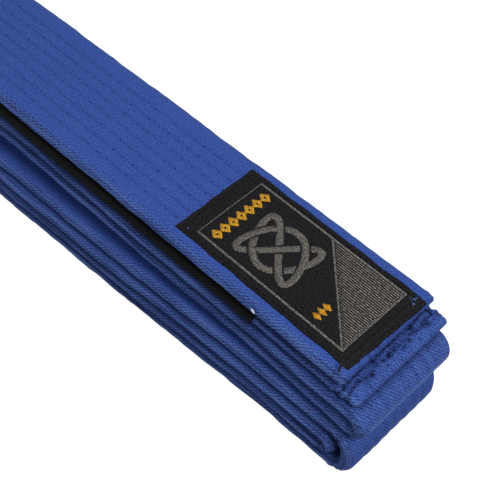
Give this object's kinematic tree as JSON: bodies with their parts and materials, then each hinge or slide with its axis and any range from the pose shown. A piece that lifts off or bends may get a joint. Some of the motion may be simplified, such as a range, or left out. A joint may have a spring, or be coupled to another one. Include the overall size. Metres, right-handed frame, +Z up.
{
  "type": "martial arts belt",
  "caption": "Folded cotton martial arts belt with a quilted core, a black rank bar and a woven end label; its halves and ends unfold.",
  "frame": {"origin": "centre of the folded bundle's footprint, on the surface that it rests on", "axes": "+X along the bundle towards the belt's two free tips, +Y across the belt's width towards its far long side, +Z up through the layers"},
  "size_m": [0.375, 0.0414, 0.0594],
  "materials": {
    "cover_twill": "royal blue cotton twill, quilted in eight rows",
    "core_batting": "undyed cotton batting",
    "rank_bar_twill": "black cotton twill",
    "label_damask": "black woven damask with grey and yellow figuring",
    "blue_thread": "blue polyester sewing thread",
    "black_thread": "black polyester sewing thread"
  },
  "bodies": {
    "lower_half": {"lower_inner_fold_core_ply_a": "core_batting", "lower_inner_fold_core_ply_b": "core_batting", "lower_inner_fold_cover": "cover_twill", "lower_outer_fold_core_ply_a": "core_batting", "lower_outer_fold_core_ply_b": "core_batting", "lower_outer_fold_cover": "cover_twill"},
    "upper_half": {"bar_run_core_ply_a": "core_batting", "bar_run_core_ply_b": "core_batting", "bar_run_cover": "cover_twill", "label_run_core_ply_a": "core_batting", "label_run_core_ply_b": "core_batting", "label_run_cover": "cover_twill", "label_run_quilting_thread": "blue_thread", "upper_fold_core_ply_a": "core_batting", "upper_fold_core_ply_b": "core_batting", "upper_fold_cover": "cover_twill"},
    "bar_end": {"bar_end_core_ply_a": "core_batting", "bar_end_core_ply_b": "core_batting", "bar_end_cover": "cover_twill", "bar_tip_hem_stitch_row_1": "blue_thread", "bar_tip_hem_stitch_row_2": "blue_thread", "middle_core_ply_a": "core_batting", "middle_core_ply_b": "core_batting", "middle_cover": "cover_twill", "middle_quilting_thread": "blue_thread", "rank_bar_left_stitch_row_1": "black_thread", "rank_bar_left_stitch_row_2": "black_thread", "rank_bar_right_stitch_row_1": "black_thread", "rank_bar_right_stitch_row_2": "black_thread", "rank_bar_sleeve": "rank_bar_twill"},
    "label_end": {"label_end_core_ply_a": "core_batting", "label_end_core_ply_b": "core_batting", "label_end_cover": "cover_twill", "label_end_quilting_thread": "blue_thread", "label_stitching": "black_thread", "woven_label": "label_damask"}
  },
  "joints": [
    {"name": "bundle_open", "type": "hinge", "parent": "lower_half", "child": "upper_half", "pos_m": [-0.188, 0, 0.0297], "axis": [0, -1, 0], "range_deg": [0, 179]},
    {"name": "bar_end_lift", "type": "hinge", "parent": "upper_half", "child": "bar_end", "pos_m": [-0.062, 0, 0.05864], "axis": [0, -1, 0], "range_deg": [0, 75]},
    {"name": "label_end_lift", "type": "hinge", "parent": "bar_end", "child": "label_end", "pos_m": [0.056, 0, 0.05439], "axis": [0, -1, 0], "range_deg": [0, 90]}
  ]
}
